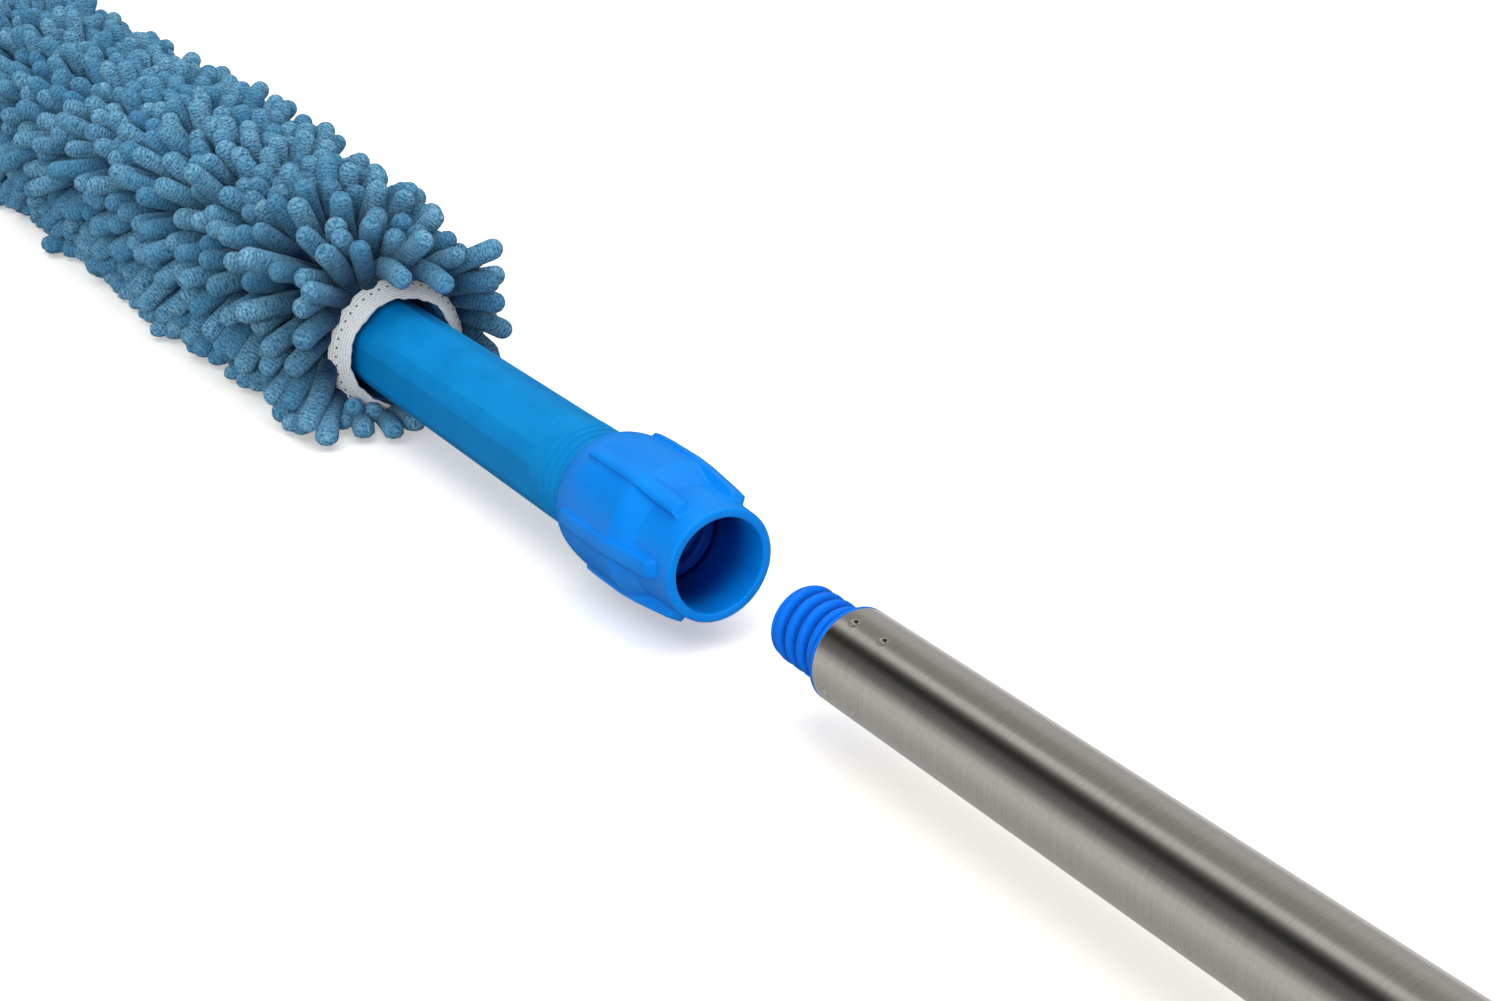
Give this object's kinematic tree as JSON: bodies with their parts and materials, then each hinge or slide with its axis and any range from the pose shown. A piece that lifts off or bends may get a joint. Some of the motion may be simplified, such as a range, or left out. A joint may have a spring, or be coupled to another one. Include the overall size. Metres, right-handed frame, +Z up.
{
  "type": "chenille duster with telescopic pole",
  "caption": "Long chenille duster head with a fluted handle and a ribbed screw collar, laid out beside the threaded end of its telescopic steel pole.",
  "frame": {"origin": "on the floor under the middle of the whole layout, head and pole together", "axes": "+X along the common axis, from the closed end of the duster head towards the pole's hang lug; +Z up from the floor it lies on; +Y across, away from the picture's viewer"},
  "size_m": [1.488, 0.1062, 0.0769],
  "materials": {
    "collar_blue": "glossy injection-moulded plastic",
    "handle_blue": "satin moulded plastic, slightly duller than the collar",
    "tip_blue": "half-gloss moulded plastic",
    "chenille": "tufted microfibre chenille",
    "elastic": "knitted elastic with a stitched row",
    "tube_steel": "drawn tube, brushed along its length",
    "spring_wire": "plain bright steel",
    "nylon": "natural white nylon",
    "foam": "closed-cell foam",
    "ring_rubber": "plain rubber"
  },
  "bodies": {
    "handle": {"grip_shell": "handle_blue", "retaining_clip": "spring_wire", "thrust_washer": "nylon", "stem_socket": "nylon", "stem_pin": "spring_wire", "wand_stem": "nylon", "foam_core": "foam", "core_cap": "nylon"},
    "collar": {"collar": "collar_blue", "thread_insert": "collar_blue"},
    "cover": {"elastic_band": "elastic", "chenille_1": "chenille", "chenille_2": "chenille", "chenille_3": "chenille", "chenille_4": "chenille"},
    "pole": {"thread_tip": "tip_blue", "outer_tube": "tube_steel", "lock_collet": "tip_blue"},
    "lock_nut": {"lock_nut": "collar_blue"},
    "inner_pole": {"inner_tube": "tube_steel", "inner_plug": "nylon", "brake_ring": "ring_rubber", "hand_grip": "handle_blue", "end_cap": "collar_blue"}
  },
  "joints": [
    {"name": "pole_draw_in", "type": "slide", "parent": "handle", "child": "pole", "axis": [-1, 0, 0], "range_m": [0, 0.081]},
    {"name": "collar_turn", "type": "hinge", "parent": "handle", "child": "collar", "pos_m": [-0.07315, 0, 0.024], "axis": [1, 0, 0], "range_deg": [0, 6481]},
    {"name": "cover_pull_off", "type": "slide", "parent": "handle", "child": "cover", "axis": [-1, 0, 0], "range_m": [0, 0.5]},
    {"name": "lock_turn", "type": "hinge", "parent": "pole", "child": "lock_nut", "pos_m": [0.57565, 0, 0.024], "axis": [1, 0, 0], "range_deg": [0, 120]},
    {"name": "pole_extend", "type": "slide", "parent": "pole", "child": "inner_pole", "axis": [1, 0, 0], "range_m": [0, 0.44]}
  ],
  "couplings": [
    {"joint": "collar_turn", "follows": "pole_draw_in", "rad_per_m": 1396.3}
  ]
}
